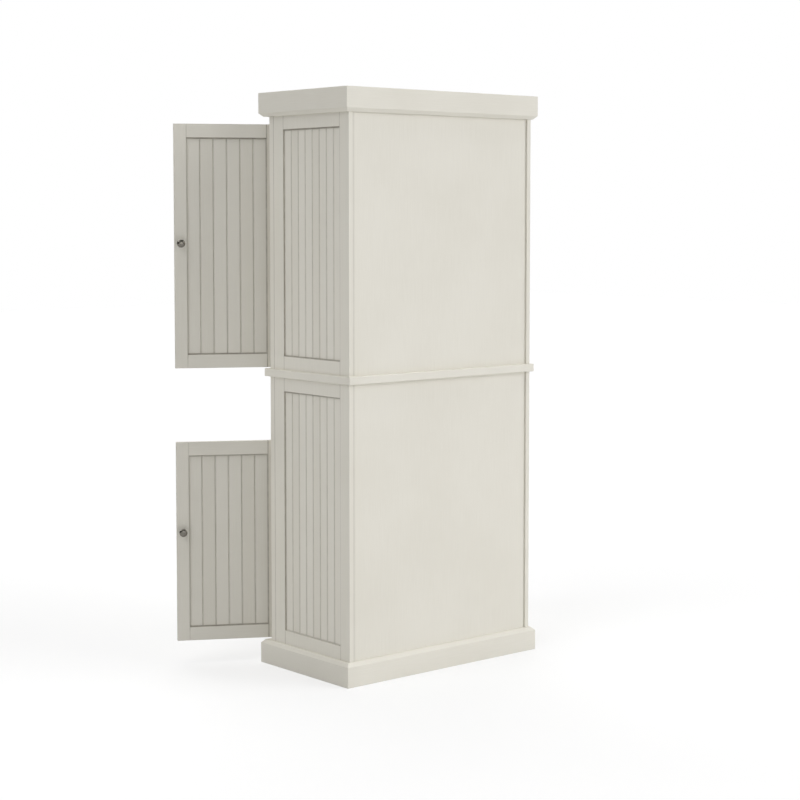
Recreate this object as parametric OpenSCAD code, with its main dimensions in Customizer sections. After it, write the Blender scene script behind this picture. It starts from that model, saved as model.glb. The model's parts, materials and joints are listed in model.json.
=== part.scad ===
// Pantry cabinet: a lower unit and an upper unit stacked on a mitred plinth, under a
// mitred cap, with four beadboard doors in a face frame and one wide drawer.
// X runs along the width, Y from the front (-Y) to the back (+Y), Z is up.
// The origin is on the floor, at the middle of the plinth's footprint.

/* [Overall size] */
// Height from the floor to the top of the cap
total_h = 1829; // [1780:1:1900]
// Width of the carcass over its side frames
body_w = 762; // [720:1:840]
// Depth of the carcass, face frame included
body_d = 402; // [380:1:460]
// Height of the top of the ledge above the floor
lower_unit_h = 954; // [930:1:970]

/* [Plinth and cap] */
// Height of the plinth and of the cap
rim_h = 75; // [60:1:90]
// Thickness of the plinth's and the cap's boards
rim_t = 38; // [34:1:44]
// Size of the chamfer that faces the carcass
rim_chamfer = 11; // [6:1:14]
// How far plinth and cap stand out at the sides
side_overhang = 19; // [15:1:24]
// How far plinth and cap stand out at the back
back_overhang = 14; // [12:1:20]
// How far plinth and cap stand out at the front
front_overhang = 33; // [24:1:34]
// Thickness of the panel in the top of the cap
cap_panel_t = 18; // [12:1:22]

/* [Ledge] */
// Thickness of the ledge board
ledge_t = 25; // [20:1:28]
// How far the ledge stands out at the sides
ledge_side = 9; // [4:1:14]
// How far the ledge stands out at the back
ledge_back = 12.5; // [4:0.5:14]
// How far the ledge stands out at the front
ledge_front = 21; // [10:1:24]
// Size of the eased edge round the ledge
ledge_ease = 2; // [1:0.5:4]

/* [Face frame] */
// Thickness of the face frame
face_t = 22; // [20:1:25]
// Width of the face frame's stiles
face_stile_w = 42; // [38:1:48]
// Height of the rail over the upper doors
top_rail_h = 20; // [18:1:26]
// Height of the rail between the lower doors and the drawer
mid_rail_h = 23; // [20:1:30]
// Height of the drawer's opening
drawer_opening_h = 160; // [150:1:180]
// Height of the rail between the drawer and the ledge
ledge_rail_h = 24; // [20:1:30]

/* [Side frames] */
// Thickness of the side frames
side_t = 18; // [18:1:22]
// Width of the side frames' front stiles
side_front_stile_w = 51; // [45:1:60]
// Width of the side frames' rear stiles
side_rear_stile_w = 45; // [40:1:55]
// Height of the side frames' rails
side_rail_h = 44; // [40:1:60]
// Number of boards marked out on a side panel
side_boards = 8; // [5:1:10]

/* [Beadboard] */
// Thickness of the grooved panels
bead_t = 8; // [7:1:9]
// How far the panels sit behind the face of their frame
bead_recess = 5; // [3:1:6]
// Width of a groove between two boards
bead_groove_w = 4; // [2:0.5:5]
// Depth of a groove between two boards
bead_groove_d = 2.2; // [1:0.2:3]
// Depth of the frame groove that holds the panel's edge
tongue = 8; // [5:1:10]

/* [Doors] */
// Thickness of the doors
door_t = 19; // [18:1:20]
// Gap round the doors and the drawer front
door_gap = 3; // [2.8:0.1:3.4]
// Gap between a door and the ledge or plinth below it
door_sill_gap = 2; // [1:0.5:3]
// Width of the doors' stiles
door_stile_w = 40; // [36:1:50]
// Height of the doors' rails
door_rail_h = 44; // [38:1:55]
// Number of boards marked out on a door panel
door_boards = 6; // [4:1:8]
// Angle that the doors stand open at rest
door_open = 150; // [0:1:175]

/* [Hinges] */
// Height of a hinge
hinge_h = 64; // [50:1:76]
// Thickness of a hinge leaf
leaf_t = 1.2; // [1:0.1:1.3]
// Distance from the end of a door to its hinge
hinge_inset = 75; // [60:1:120]
// Radius of the hinge knuckles
knuckle_r = 3.2; // [3:0.1:3.6]
// Radius of the hinge pins
pin_r = 1.5; // [1.2:0.1:1.8]

/* [Knobs] */
// Diameter of the knobs
knob_d = 26; // [22:1:32]
// How far the knobs stand out
knob_l = 24; // [20:1:30]
// Distance from the door's free edge to the knob
knob_inset = 20; // [16:1:24]
// Height of the upper doors' knobs above the door's bottom
upper_knob_h = 397; // [300:1:480]
// Height of the lower doors' knobs above the door's bottom
lower_knob_h = 353; // [250:1:450]

/* [Drawer] */
// Length of the drawer box
drawer_l = 340; // [280:1:345]
// Height of the drawer box's sides
drawer_box_h = 110; // [90:1:120]
// Thickness of the drawer box's boards
drawer_board_t = 12; // [10:1:15]
// Thickness of the drawer's bottom
drawer_bottom_t = 6; // [4:1:8]
// Height of the drawer slides
slide_h = 45; // [36:1:46]

/* [Inside] */
// Thickness of the floors
floor_t = 15; // [15:1:18]
// Thickness of the ceiling
ceiling_t = 18; // [15:1:22]
// Thickness of the back panels
back_t = 6; // [4:1:6]
// How far the back panels sit in from the carcass's rear edge
back_recess = 5; // [3:1:5]
// Thickness of the shelves
shelf_t = 18; // [16:1:20]
// Radius of the shelf pins
shelf_pin_r = 2.5; // [2.5:0.5:3]
// Number of holes in a group of pin holes
pin_holes = 5; // [3:2:5]

/* [Hidden] */
$fn = 48;
paint = "antiquewhite";
paint_inside = "linen";
knob_metal = "dimgray";
steel = "silver";
birch = "burlywood";
white_plastic = "whitesmoke";

// How far a cutting shape runs past the solid that it cuts
cut = 1;
// Width of the rabbets that hold a back panel's edge and the cap's top panel
back_lip = 3;
cap_lip = 10;
// Thickness of a glue line
glue_line = 0.1;
// Size of the chamfer along the edges of the drawer front and the shelves
board_ease = 1.5;
// Running clearance round the hinge pins, and between two knuckles
pin_clear = 0.05;
knuckle_gap = 0.25;
// Room left between a fixed leaf and the other leaf's knuckle
knuckle_room = 0.5;
// How far the hinge pins' axis stands out from the face frame, and how far short of the
// door's inner face a leaf ends
pivot_out = 4;
leaf_margin = 2;
// Pitch of the shelf pin holes, their depth, and a pin's length outside its hole
pin_pitch = 32;
pin_depth = 9;
pin_out = 10;
// Distance of the pin rows from the front and rear edges of the side frames
pin_row_inset = 24;
// Room that one drawer slide takes, and the thickness of its steel
slide_w = 12.5;
slide_steel_t = 1.2;
slide_clear = 0.8;
// Height of the blocks behind the runners, and how far the drawer box sits below the middle
// of its opening
packer_h = 60;
box_drop = 12;
// Number of bays in the upper unit, and the room left between a shelf and the sides, the
// face frame and the back panel
upper_bays = 3;
shelf_side_gap = 1.5;
shelf_front_gap = 12;
shelf_back_gap = 4;
// Bolts between the units: radii of shank, head and nut, heights of head and nut, clearance
// of the holes, and distance from the corners inside the carcass
bolt_r = 3;
bolt_head_r = 7;
bolt_nut_r = 5.5;
bolt_head_h = 3;
bolt_nut_h = 5;
bolt_clear = 0.5;
bolt_inset = 40;
// Magnetic catches: middle, width, depth and height, gap to the strike plate on the door, how
// far plate and catch sit below the door's top, and how far a foot reaches up behind its rail
catch_x = 40;
catch_w = 40;
catch_d = 12;
catch_h = 12;
catch_gap = 0.7;
catch_drop = 4;
catch_foot = 14;
strike_t = 1.2;
strike_h = 14;

// Outline of the carcass and of the plinth and cap
body_x = body_w / 2;
rim_x = body_x + side_overhang;
rim_y = (body_d + front_overhang + back_overhang) / 2;
front_y = front_overhang - rim_y;
back_y = front_y + body_d;
inner_x = body_x - side_t;
behind_face_y = front_y + face_t;
panel_back_y = back_y - back_recess;
panel_front_y = panel_back_y - back_t;

// Heights of the two units
cap_z = total_h - rim_h;
ledge_z = lower_unit_h - ledge_t;
opening_x = body_x - face_stile_w;
upper_opening_top = cap_z - top_rail_h;
drawer_top_z = ledge_z - ledge_rail_h;
drawer_z = drawer_top_z - drawer_opening_h;
lower_opening_top = drawer_z - mid_rail_h;

// Doors, closed: the right door's corner nearest the middle, and its size
door_x0 = door_gap / 2;
door_w = opening_x - door_gap - door_x0;
upper_door_z = lower_unit_h + door_sill_gap;
upper_door_h = upper_opening_top - door_gap - upper_door_z;
lower_door_z = rim_h + door_sill_gap;
lower_door_h = lower_opening_top - door_gap - lower_door_z;
pivot_x = opening_x - door_gap / 2;
pivot_y = front_y - pivot_out;
hinge_leaf_w = pivot_out + door_t - leaf_margin;

// Drawer box
drawer_front_h = drawer_opening_h - 2 * door_gap;
box_x = opening_x - slide_w;
box_y0 = front_y + door_t;
box_y1 = box_y0 + drawer_l;
box_z = drawer_z + (drawer_opening_h - drawer_box_h) / 2 - box_drop;
slide_z = box_z + drawer_box_h / 2;
channel_w = slide_w - slide_steel_t - slide_clear;
bottom_inset = 8;
bottom_groove = 6;

// Inside heights
ceiling_z = cap_z - ceiling_t;
upper_floor_top = lower_unit_h + floor_t;
lower_floor_top = rim_h + floor_t;
upper_bay = (ceiling_z - upper_floor_top) / upper_bays;
upper_shelf_z = [for (i = [1:upper_bays - 1]) upper_floor_top + i * upper_bay];
lower_shelf_z = lower_floor_top + (box_z - lower_floor_top) / 2;

// Sides are 1 for right (+X) and -1 for left. A level is [name, door z, door height, knob height].
SIDES = [["right", 1], ["left", -1]];
LEVELS = [
    ["upper", upper_door_z, upper_door_h, upper_knob_h],
    ["lower", lower_door_z, lower_door_h, lower_knob_h]
];
UNITS = [["upper", lower_unit_h, cap_z], ["lower", rim_h, ledge_z]];
DOOR_PIECES = ["door_stiles", "door_rails", "door_panel", "door_knob", "door_fittings"];

CARCASS_NODES = [
    "plinth_front", "plinth_back", "plinth_sides", "plinth_bracing",
    "cap_front", "cap_back", "cap_sides", "cap_top_panel",
    "middle_ledge", "lower_floor", "upper_floor", "upper_ceiling",
    "upper_back_panel", "lower_back_panel",
    "upper_face_frame_stiles", "upper_face_frame_rail",
    "lower_face_frame_stiles", "lower_face_frame_rails",
    "upper_shelves", "lower_shelf", "shelf_pins", "frame_hinge_leaves",
    "magnetic_catches", "stacking_bolts", "drawer_packers", "drawer_runners"
];
DRAWER_NODES = [
    "drawer_front", "drawer_sides", "drawer_ends", "drawer_bottom", "drawer_knobs",
    "drawer_slides"
];
SIDE_NODES = [
    for (s = SIDES, u = UNITS, piece = ["side_frame", "side_panel"])
        str(s[0], "_", u[0], "_", piece)
];
DOOR_NODES = [
    for (s = SIDES, l = LEVELS, piece = DOOR_PIECES) str(s[0], "_", l[0], "_", piece)
];

// ---- Helpers -------------------------------------------------------------------------

// Draws its children for the right side, or mirrored for the left
module on_side(side) {
    if (side > 0)
        children();
    else
        mirror([1, 0, 0]) children();
}

module on_both_sides() {
    for (s = SIDES)
        on_side(s[1]) children();
}

// A box from its lowest corner to its highest
module box(low, high) {
    translate(low) cube(high - low);
}

// A board along X or Y whose two ends are cut at 45 degrees. Its section is drawn with x
// from the outer face inwards and y upwards, and it runs along the outer face.
module mitred_board(length, z) {
    translate([-length / 2, 0, z])
        intersection() {
            rotate([90, 0, 90]) linear_extrude(length) children();
            linear_extrude(rim_h)
                polygon([[0, 0], [length, 0], [length - rim_t, rim_t], [rim_t, rim_t]]);
        }
}

// Sections of the plinth's and the cap's boards
module plinth_section() {
    polygon([[0, 0], [rim_t, 0], [rim_t, rim_h], [rim_chamfer, rim_h], [0, rim_h - rim_chamfer]]);
}

module cap_section() {
    lip = rim_t - cap_lip;
    polygon([
        [rim_chamfer, 0], [rim_t, 0], [rim_t, rim_h - cap_panel_t],
        [lip, rim_h - cap_panel_t], [lip, rim_h], [0, rim_h], [0, rim_chamfer]
    ]);
}

// Places a board drawn along X with its outer face at y = 0 on one face of the plinth or cap
module on_front() {
    translate([0, -rim_y, 0]) children();
}

module on_back() {
    translate([0, rim_y, 0]) rotate([0, 0, 180]) children();
}

module on_ends() {
    translate([rim_x, 0, 0]) rotate([0, 0, 90]) children();
    translate([-rim_x, 0, 0]) rotate([0, 0, -90]) children();
}

// A flat board with all its edges eased by a small chamfer
module eased_board(low, high, ease) {
    size = high - low;
    translate(low)
        intersection() {
            rotate([90, 0, 90]) linear_extrude(size[0]) eased_outline(size[1], size[2], ease);
            translate([0, size[1], 0])
                rotate([90, 0, 0]) linear_extrude(size[1]) eased_outline(size[0], size[2], ease);
            linear_extrude(size[2]) eased_outline(size[0], size[1], ease);
        }
}

module eased_outline(w, h, ease) {
    polygon([
        [ease, 0], [w - ease, 0], [w, ease], [w, h - ease],
        [w - ease, h], [ease, h], [0, h - ease], [0, ease]
    ]);
}

// A grooved panel: its outer face looks along -Y, its visible part runs from x = 0 to w,
// and a tongue on each edge fills the frame's grooves
module bead_panel(w, h, boards) {
    pitch = w / boards;
    half = bead_groove_w / 2;
    grooves = [
        for (i = [1:boards - 1])
            each [[i * pitch - half, 0], [i * pitch, bead_groove_d], [i * pitch + half, 0]]
    ];
    outline = concat(
        [[-tongue, 0]], grooves, [[w + tongue, 0], [w + tongue, bead_t], [-tongue, bead_t]]
    );
    translate([0, 0, -tongue]) linear_extrude(h + 2 * tongue) polygon(outline);
}

// The slot that a panel's tongue fills, cut into a frame member's edge along Z
module panel_slot(length) {
    translate([-tongue, bead_recess, -cut]) cube([tongue + cut, bead_t, length + 2 * cut]);
}

// A stile with its outer face at y = 0, from x = -w to 0, slotted on its +X edge
module slotted_stile(w, h, t) {
    difference() {
        translate([-w, 0, 0]) cube([w, t, h]);
        panel_slot(h);
    }
}

// A rail between two stiles, from x = 0 to w, slotted on its upper edge, with a tenon at
// each end that fills the stiles' slots
module slotted_rail(w, h, t) {
    difference() {
        union() {
            cube([w, t, h]);
            translate([-tongue, bead_recess, 0]) cube([w + 2 * tongue, bead_t, h]);
        }
        translate([-tongue - cut, bead_recess, h - tongue])
            cube([w + 2 * (tongue + cut), bead_t, tongue + cut]);
    }
}

// ---- Plinth and cap ------------------------------------------------------------------

module plinth_front() {
    color(paint) on_front() mitred_board(2 * rim_x, 0) plinth_section();
}

module plinth_back() {
    color(paint) on_back() mitred_board(2 * rim_x, 0) plinth_section();
}

module plinth_sides() {
    color(paint) on_ends() mitred_board(2 * rim_y, 0) plinth_section();
}

// Glue blocks in the plinth's corners, a cleat under the floor's front edge, and a brace
// from the cleat to the back board. They stop a glue line short of each other.
module plinth_bracing() {
    block = 60;
    in_x = rim_x - rim_t;
    in_y = rim_y - rim_t;
    cleat_x = in_x - block - glue_line;
    cleat_y = rim_t - in_y;
    color(birch) {
        box([-cleat_x, -in_y, 0], [cleat_x, cleat_y, rim_h]);
        box([-rim_t / 2, cleat_y + glue_line, 0], [rim_t / 2, in_y, rim_h]);
        on_both_sides() {
            box([in_x - block, -in_y, 0], [in_x, block - in_y, rim_h]);
            box([in_x - block, in_y - block, 0], [in_x, in_y, rim_h]);
        }
    }
}

module cap_front() {
    color(paint) on_front() mitred_board(2 * rim_x, cap_z) cap_section();
}

module cap_back() {
    color(paint) on_back() mitred_board(2 * rim_x, cap_z) cap_section();
}

module cap_sides() {
    color(paint) on_ends() mitred_board(2 * rim_y, cap_z) cap_section();
}

module cap_top_panel() {
    in_x = rim_x - rim_t + cap_lip;
    in_y = rim_y - rim_t + cap_lip;
    color(paint) box([-in_x, -in_y, total_h - cap_panel_t], [in_x, in_y, total_h]);
}

// ---- Boards across the carcass -------------------------------------------------------

module stacking_bolt_places() {
    on_both_sides()
        for (y = [behind_face_y + bolt_inset, panel_front_y - bolt_inset])
            translate([inner_x - bolt_inset, y, 0]) children();
}

module bolt_hole(z0, z1) {
    stacking_bolt_places()
        translate([0, 0, z0 - cut]) cylinder(r = bolt_r + bolt_clear, h = z1 - z0 + 2 * cut);
}

module middle_ledge() {
    color(paint)
        difference() {
            eased_board(
                [-body_x - ledge_side, front_y - ledge_front, ledge_z],
                [body_x + ledge_side, back_y + ledge_back, lower_unit_h],
                ledge_ease
            );
            bolt_hole(ledge_z, lower_unit_h);
        }
}

module floor_board(z) {
    box([-inner_x, behind_face_y, z], [inner_x, panel_front_y, z + floor_t]);
}

module lower_floor() {
    color(paint_inside) floor_board(rim_h);
}

module upper_floor() {
    color(paint_inside)
        difference() {
            floor_board(lower_unit_h);
            bolt_hole(lower_unit_h, upper_floor_top);
        }
}

module upper_ceiling() {
    color(paint_inside) box([-inner_x, behind_face_y, ceiling_z], [inner_x, panel_front_y, cap_z]);
}

// Bolts through the upper floor and the ledge, with a round head above and a nut below
module stacking_bolts() {
    color(steel)
        stacking_bolt_places() {
            translate([0, 0, ledge_z - bolt_nut_h]) {
                cylinder(r = bolt_r, h = upper_floor_top - ledge_z + bolt_nut_h);
                cylinder(r = bolt_nut_r, h = bolt_nut_h, $fn = 6);
            }
            translate([0, 0, upper_floor_top]) cylinder(r = bolt_head_r, h = bolt_head_h);
        }
}

// ---- Side frames, back panels and face frame -----------------------------------------

// Heights of the shelves that rest in one unit
function unit_shelves(name) = name == "upper" ? upper_shelf_z : [lower_shelf_z];

// Draws its children at each pin hole, along +X from the inner face of the right side frame
module pin_rows(unit_name) {
    for (y = [behind_face_y + pin_row_inset, back_y - pin_row_inset])
        for (z = unit_shelves(unit_name))
            for (i = [-(pin_holes - 1) / 2:(pin_holes - 1) / 2])
                translate([inner_x, y, z - shelf_pin_r + i * pin_pitch]) children();
}

module side_stiles(z0, z1) {
    h = z1 - z0;
    front_edge = behind_face_y + side_front_stile_w;
    rear_edge = back_y - side_rear_stile_w;
    slot_x = body_x - bead_recess - bead_t;
    difference() {
        box([inner_x, behind_face_y, z0], [body_x, front_edge, z1]);
        box([slot_x, front_edge - tongue, z0 - cut], [slot_x + bead_t, front_edge + cut, z1 + cut]);
    }
    difference() {
        box([inner_x, rear_edge, z0], [body_x, back_y, z1]);
        box([slot_x, rear_edge - cut, z0 - cut], [slot_x + bead_t, rear_edge + tongue, z1 + cut]);
        box([inner_x - cut, panel_front_y, z0 - cut], [inner_x + back_lip, back_y + cut, z1 + cut]);
    }
}

// A rail between the stiles, with a tenon at each end in the stiles' slots. A hairline of
// glue all round keeps the rails and the stiles separate pieces.
module side_rail(z, slot_z) {
    front_edge = behind_face_y + side_front_stile_w + glue_line;
    rear_edge = back_y - side_rear_stile_w - glue_line;
    tenon = tongue - 2 * glue_line;
    slot_x = body_x - bead_recess - bead_t;
    difference() {
        union() {
            box([inner_x, front_edge, z], [body_x, rear_edge, z + side_rail_h]);
            box(
                [slot_x + glue_line, front_edge - tenon, z],
                [slot_x + bead_t - glue_line, rear_edge + tenon, z + side_rail_h]
            );
        }
        box([slot_x, front_edge - tongue, slot_z], [slot_x + bead_t, rear_edge + tongue, slot_z + tongue]);
    }
}

module side_frame(side, unit) {
    z0 = unit[1];
    z1 = unit[2];
    color(paint)
        on_side(side) {
            difference() {
                side_stiles(z0, z1);
                pin_rows(unit[0])
                    translate([-cut, 0, 0])
                        rotate([0, 90, 0]) cylinder(r = shelf_pin_r, h = pin_depth + cut);
            }
            side_rail(z0, z0 + side_rail_h - tongue);
            side_rail(z1 - side_rail_h, z1 - side_rail_h);
        }
}

module side_panel(side, unit) {
    w = body_d - face_t - side_front_stile_w - side_rear_stile_w;
    h = unit[2] - unit[1] - 2 * side_rail_h;
    color(paint)
        on_side(side)
            translate([
                body_x - bead_recess, behind_face_y + side_front_stile_w, unit[1] + side_rail_h
            ])
                rotate([0, 0, 90]) bead_panel(w, h, side_boards);
}

module back_panel(z0, z1) {
    x = inner_x + back_lip;
    color(paint) box([-x, panel_front_y, z0], [x, panel_back_y, z1]);
}

module face_stiles(z0, z1) {
    color(paint) on_both_sides() box([opening_x, front_y, z0], [body_x, behind_face_y, z1]);
}

module face_rail(z0, z1) {
    color(paint) box([-opening_x, front_y, z0], [opening_x, behind_face_y, z1]);
}

module lower_face_frame_rails() {
    face_rail(lower_opening_top, drawer_z);
    face_rail(drawer_top_z, ledge_z);
}

// ---- Shelves -------------------------------------------------------------------------

module shelf(z) {
    x = inner_x - shelf_side_gap;
    color(paint_inside)
        eased_board(
            [-x, behind_face_y + shelf_front_gap, z],
            [x, panel_front_y - shelf_back_gap, z + shelf_t],
            board_ease
        );
}

module upper_shelves() {
    for (z = upper_shelf_z)
        shelf(z);
}

// Four pins under each shelf, pushed into the middle hole of each group
module shelf_pins() {
    color(steel)
        on_both_sides()
            for (y = [behind_face_y + pin_row_inset, back_y - pin_row_inset])
                for (z = concat(upper_shelf_z, [lower_shelf_z]))
                    translate([inner_x - pin_out, y, z - shelf_pin_r])
                        rotate([0, 90, 0]) cylinder(r = shelf_pin_r, h = pin_out + pin_depth);
}

// ---- Doors, drawn closed on the right and turned about the hinge pins -----------------

module hung(side) {
    on_side(side)
        translate([pivot_x, pivot_y, 0])
            rotate([0, 0, door_open])
                translate([-pivot_x, -pivot_y, 0]) children();
}

module door_stiles(side, level) {
    color(paint)
        hung(side)
            translate([door_x0, front_y, level[1]]) {
                translate([door_stile_w, 0, 0]) slotted_stile(door_stile_w, level[2], door_t);
                translate([door_w - door_stile_w, 0, 0])
                    mirror([1, 0, 0]) slotted_stile(door_stile_w, level[2], door_t);
            }
}

module door_rails(side, level) {
    w = door_w - 2 * door_stile_w;
    color(paint)
        hung(side)
            translate([door_x0 + door_stile_w, front_y, level[1]]) {
                slotted_rail(w, door_rail_h, door_t);
                translate([0, 0, level[2]]) mirror([0, 0, 1]) slotted_rail(w, door_rail_h, door_t);
            }
}

module door_panel(side, level) {
    color(paint)
        hung(side)
            translate([
                door_x0 + door_stile_w, front_y + bead_recess, level[1] + door_rail_h
            ])
                bead_panel(door_w - 2 * door_stile_w, level[2] - 2 * door_rail_h, door_boards);
}

// A mushroom knob on a round rose, turned about its axis, which points along -Y
module knob() {
    r = knob_d / 2;
    rose_r = 8;
    rose_t = 1.5;
    rose_h = 4;
    neck_r = 5;
    flare_h = 5;
    edge_h = 2;
    crown_h = 5;
    rim = knob_l - crown_h;
    profile = concat(
        [[0, 0], [rose_r, 0], [rose_r, rose_t], [neck_r, rose_h]],
        [for (a = [0:15:75]) [neck_r + (r - neck_r) * sin(a), rim - edge_h - flare_h * cos(a)]],
        [for (a = [0:15:90]) [r * cos(a), rim + crown_h * sin(a)]]
    );
    rotate([90, 0, 0]) rotate_extrude() polygon(profile);
}

module door_knob(side, level) {
    color(knob_metal)
        hung(side) translate([door_x0 + knob_inset, front_y, level[1] + level[3]]) knob();
}

// ---- Hinges and catches --------------------------------------------------------------

function hinge_heights(level) =
    [level[1] + hinge_inset, level[1] + level[2] - hinge_inset - hinge_h];

// A knuckle or a stretch of pin on the hinge axis, from one height to another
module on_axis(r, z0, z1) {
    translate([pivot_x, pivot_y, z0]) cylinder(r = r, h = z1 - z0);
}

// The leaf on the face frame carries the two outer knuckles
module frame_leaf(z) {
    third = hinge_h / 3;
    bore_r = pin_r + pin_clear;
    difference() {
        union() {
            box([opening_x - leaf_t, pivot_y, z], [opening_x, pivot_y + hinge_leaf_w, z + hinge_h]);
            on_axis(knuckle_r, z, z + third - knuckle_gap);
            on_axis(knuckle_r, z + 2 * third + knuckle_gap, z + hinge_h);
        }
        on_axis(knuckle_r + knuckle_room, z + third - knuckle_gap, z + 2 * third + knuckle_gap);
        on_axis(bore_r, z - cut, z + hinge_h + cut);
    }
}

// The leaf on the door carries the middle knuckle and the pin, which has a button at each end
module door_leaf(z) {
    third = hinge_h / 3;
    edge_x = opening_x - door_gap;
    button_h = 1.5;
    button_r = pin_r + 1;
    difference() {
        box([edge_x, pivot_y, z], [edge_x + leaf_t, pivot_y + hinge_leaf_w, z + hinge_h]);
        on_axis(knuckle_r + knuckle_room, z - cut, z + third);
        on_axis(knuckle_r + knuckle_room, z + 2 * third, z + hinge_h + cut);
    }
    on_axis(knuckle_r, z + third, z + 2 * third);
    on_axis(pin_r, z - knuckle_gap, z + hinge_h + knuckle_gap);
    for (end = [z - knuckle_gap - button_h, z + hinge_h + knuckle_gap])
        on_axis(button_r, end, end + button_h);
}

module frame_hinge_leaves() {
    color(steel)
        on_both_sides()
            for (level = LEVELS, z = hinge_heights(level))
                frame_leaf(z);
}

// A plate or case as wide as the catch, between two depths and two heights
module catch_box(y0, y1, z0, z1) {
    box([catch_x - catch_w / 2, y0, z0], [catch_x + catch_w / 2, y1, z1]);
}

module door_fittings(side, level) {
    strike_z = level[1] + level[2] - catch_drop;
    back = front_y + door_t;
    color(steel)
        hung(side) {
            for (z = hinge_heights(level))
                door_leaf(z);
            catch_box(back, back + strike_t, strike_z - strike_h, strike_z);
        }
}

// The catch's magnet is in a case that faces the door, below a foot fixed behind the rail
module magnetic_catch(door_top, foot_top) {
    z = door_top - catch_drop - catch_h;
    back = behind_face_y + catch_d;
    catch_box(front_y + door_t + strike_t + catch_gap, back, z, door_top);
    catch_box(behind_face_y, back, z, foot_top);
}

module magnetic_catches() {
    color(white_plastic)
        on_both_sides() {
            magnetic_catch(upper_door_z + upper_door_h, ceiling_z);
            magnetic_catch(lower_door_z + lower_door_h, lower_opening_top + catch_foot);
        }
}

// ---- Drawer --------------------------------------------------------------------------

module drawer_front() {
    x = opening_x - door_gap;
    z = drawer_z + door_gap;
    color(paint) eased_board([-x, front_y, z], [x, box_y0, z + drawer_front_h], board_ease);
}

// The groove all round the inside of the box that holds the drawer's bottom
module drawer_bottom_space() {
    box(
        [-box_x + drawer_board_t - bottom_groove, box_y0 + drawer_board_t - bottom_groove,
            box_z + bottom_inset],
        [box_x - drawer_board_t + bottom_groove, box_y1 - drawer_board_t + bottom_groove,
            box_z + bottom_inset + drawer_bottom_t]
    );
}

module drawer_sides() {
    color(birch)
        difference() {
            on_both_sides()
                box([box_x - drawer_board_t, box_y0, box_z], [box_x, box_y1, box_z + drawer_box_h]);
            drawer_bottom_space();
        }
}

module drawer_ends() {
    x = box_x - drawer_board_t;
    color(birch)
        difference() {
            for (y = [box_y0, box_y1 - drawer_board_t])
                box([-x, y, box_z], [x, y + drawer_board_t, box_z + drawer_box_h]);
            drawer_bottom_space();
        }
}

module drawer_bottom() {
    color(birch) drawer_bottom_space();
}

module drawer_knobs() {
    color(knob_metal)
        on_both_sides()
            translate([opening_x / 2, front_y, drawer_z + drawer_opening_h / 2]) knob();
}

// A channel of folded steel along Y: its back at x = 0, open towards -X, h high and w deep
module slide_channel(w, h, length) {
    difference() {
        translate([-w, 0, -h / 2]) cube([w, length, h]);
        translate([-w - cut, -cut, slide_steel_t - h / 2])
            cube([w + cut - slide_steel_t, length + 2 * cut, h - 2 * slide_steel_t]);
    }
}

// Blocks that bring the runners in line with the edge of the face frame
module drawer_packers() {
    color(birch)
        on_both_sides()
            box(
                [opening_x, behind_face_y, slide_z - packer_h / 2],
                [inner_x, panel_front_y, slide_z + packer_h / 2]
            );
}

module drawer_runners() {
    color(steel)
        on_both_sides()
            translate([opening_x, behind_face_y, slide_z])
                slide_channel(channel_w, slide_h, drawer_l);
}

module drawer_slides() {
    h = slide_h - 2 * (slide_steel_t + slide_clear);
    color(steel)
        on_both_sides()
            translate([box_x, behind_face_y, slide_z])
                mirror([1, 0, 0]) slide_channel(channel_w, h, drawer_l - face_t);
}

// ---- The nodes -----------------------------------------------------------------------

plinth_front();
plinth_back();
plinth_sides();
plinth_bracing();
cap_front();
cap_back();
cap_sides();
cap_top_panel();
middle_ledge();
lower_floor();
upper_floor();
upper_ceiling();
back_panel(lower_unit_h, cap_z);  // upper_back_panel
back_panel(rim_h, ledge_z);  // lower_back_panel
face_stiles(lower_unit_h, cap_z);  // upper_face_frame_stiles
face_rail(upper_opening_top, cap_z);  // upper_face_frame_rail
face_stiles(rim_h, ledge_z);  // lower_face_frame_stiles
lower_face_frame_rails();
upper_shelves();
shelf(lower_shelf_z);  // lower_shelf
shelf_pins();
frame_hinge_leaves();
magnetic_catches();
stacking_bolts();
drawer_packers();
drawer_runners();

for (s = SIDES, u = UNITS) {
    name = str(s[0], "_", u[0], "_");
    side_frame(s[1], u);
    side_panel(s[1], u);
}

for (s = SIDES, l = LEVELS) {
    name = str(s[0], "_", l[0], "_");
    door_stiles(s[1], l);
    door_rails(s[1], l);
    door_panel(s[1], l);
    door_knob(s[1], l);
    door_fittings(s[1], l);
}

drawer_front();
drawer_sides();
drawer_ends();
drawer_bottom();
drawer_knobs();
drawer_slides();
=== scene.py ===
import json
import math

import bmesh
import bpy
from mathutils import Matrix, Vector

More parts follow.
